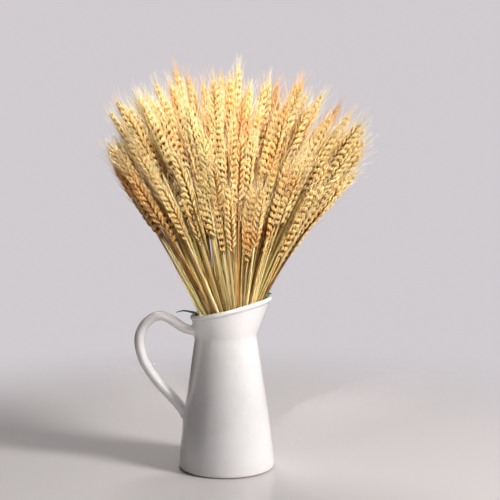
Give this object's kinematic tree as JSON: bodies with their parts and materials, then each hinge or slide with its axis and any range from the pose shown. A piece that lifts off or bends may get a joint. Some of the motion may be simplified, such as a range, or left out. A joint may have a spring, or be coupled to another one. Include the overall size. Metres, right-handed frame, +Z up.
{
  "type": "wheat ears in a jug",
  "caption": "Dried bearded wheat ears on long stems, fanned out of a tapered glazed jug with a slanted pouring rim and a loop handle.",
  "frame": {"origin": "centre of the jug's round foot, on the surface it stands on", "axes": "+Z up along the jug's axis; -X towards the handle, +X towards the pouring lip; -Y is the side seen with the handle on the left"},
  "size_m": [0.2662, 0.2462, 0.4191],
  "materials": {
    "glaze": "gloss",
    "straw": "matte",
    "dry_leaf": "matte"
  },
  "bodies": {
    "root": {"jug": "glaze", "wheat_01": "straw", "wheat_02": "straw", "wheat_03": "straw", "wheat_04": "straw", "wheat_05": "straw", "wheat_06": "straw", "wheat_07": "straw", "wheat_08": "straw", "wheat_09": "straw", "wheat_10": "straw", "wheat_11": "straw", "wheat_12": "straw", "wheat_13": "straw", "wheat_14": "straw", "wheat_15": "straw", "wheat_16": "straw", "wheat_17": "straw", "wheat_18": "straw", "wheat_19": "straw", "wheat_20": "straw", "wheat_21": "straw", "wheat_22": "straw", "wheat_23": "straw", "wheat_24": "straw", "wheat_25": "straw", "wheat_26": "straw", "wheat_27": "straw", "wheat_28": "straw", "wheat_29": "straw", "wheat_30": "straw", "wheat_31": "straw", "wheat_32": "straw", "wheat_33": "straw", "wheat_34": "straw", "wheat_35": "straw", "wheat_36": "straw", "wheat_37": "straw", "wheat_38": "straw", "wheat_39": "straw", "wheat_40": "straw", "wheat_41": "straw", "wheat_42": "straw", "wheat_43": "straw", "wheat_44": "straw", "wheat_45": "straw", "wheat_46": "straw", "wheat_47": "straw", "wheat_48": "straw", "wheat_49": "straw", "wheat_50": "straw", "wheat_51": "straw", "wheat_52": "straw", "wheat_53": "straw", "wheat_54": "straw", "wheat_55": "straw", "wheat_56": "straw", "leaf_over_rim": "dry_leaf", "leaf_at_lip_1": "dry_leaf", "leaf_at_lip_2": "dry_leaf"}
  },
  "joints": []
}
